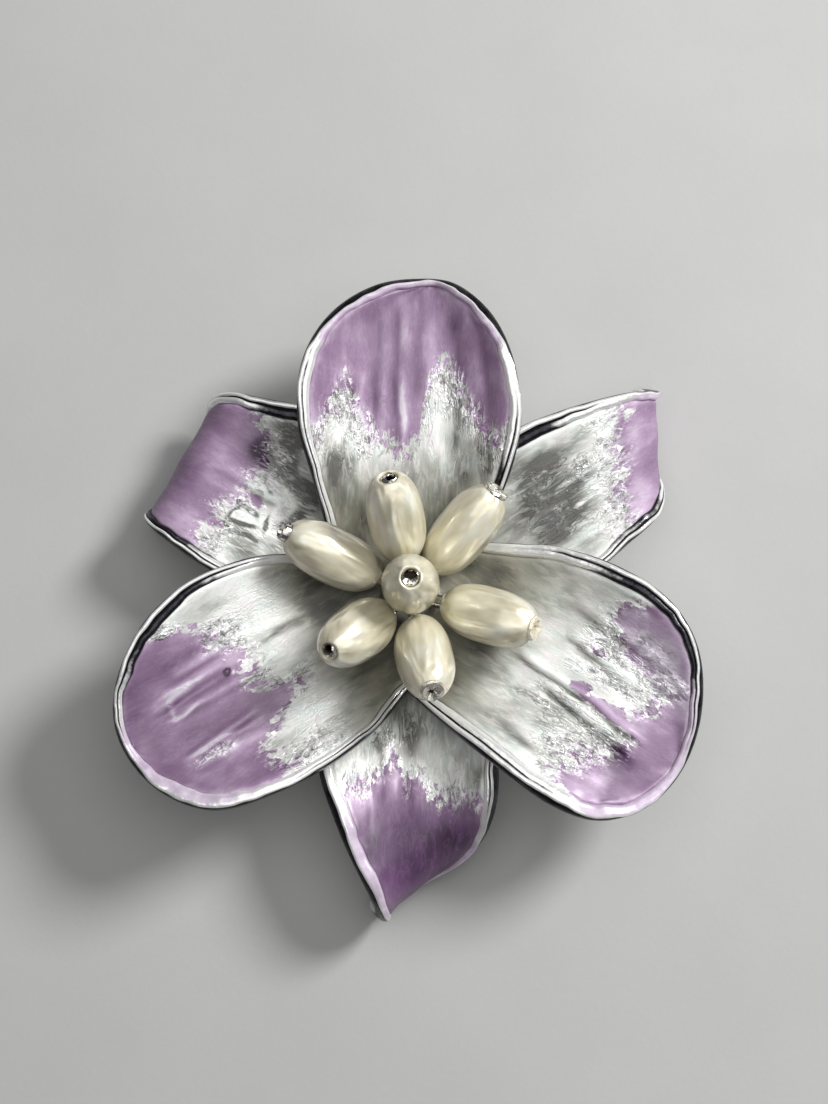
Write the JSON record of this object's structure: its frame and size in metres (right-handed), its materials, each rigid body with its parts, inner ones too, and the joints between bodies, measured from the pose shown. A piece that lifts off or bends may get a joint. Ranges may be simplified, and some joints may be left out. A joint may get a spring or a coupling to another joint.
{
  "type": "flower brooch",
  "caption": "Enamelled metal flower brooch: rounded petals over pointed turned-down ones, a spray of rice-shaped faux pearls on posts, and a bar pin behind.",
  "frame": {"origin": "Middle of the flower's outline in plan, at the height of the table that it lies on.", "axes": "+Z out of the flower's face, +Y towards the tip of the top petal, +X to the right seen from the front."},
  "size_m": [0.0514, 0.0572, 0.0193],
  "materials": {
    "rhodium_metal": "polished",
    "lilac_enamel": "gloss over brushed silver",
    "faux_pearl": "pearly lustre",
    "pin_steel": "satin"
  },
  "bodies": {
    "root": {"back_petals": "rhodium_metal", "front_petals": "rhodium_metal", "enamel_top": "lilac_enamel", "enamel_lower_left": "lilac_enamel", "enamel_lower_right": "lilac_enamel", "enamel_upper_right": "lilac_enamel", "enamel_upper_left": "lilac_enamel", "enamel_bottom": "lilac_enamel", "pearl_holder": "rhodium_metal", "pearl_centre": "faux_pearl", "pearl_top": "faux_pearl", "pearl_upper_right": "faux_pearl", "pearl_right": "faux_pearl", "pearl_bottom": "faux_pearl", "pearl_lower_left": "faux_pearl", "pearl_upper_left": "faux_pearl", "brooch_pin": "pin_steel"}
  },
  "joints": []
}
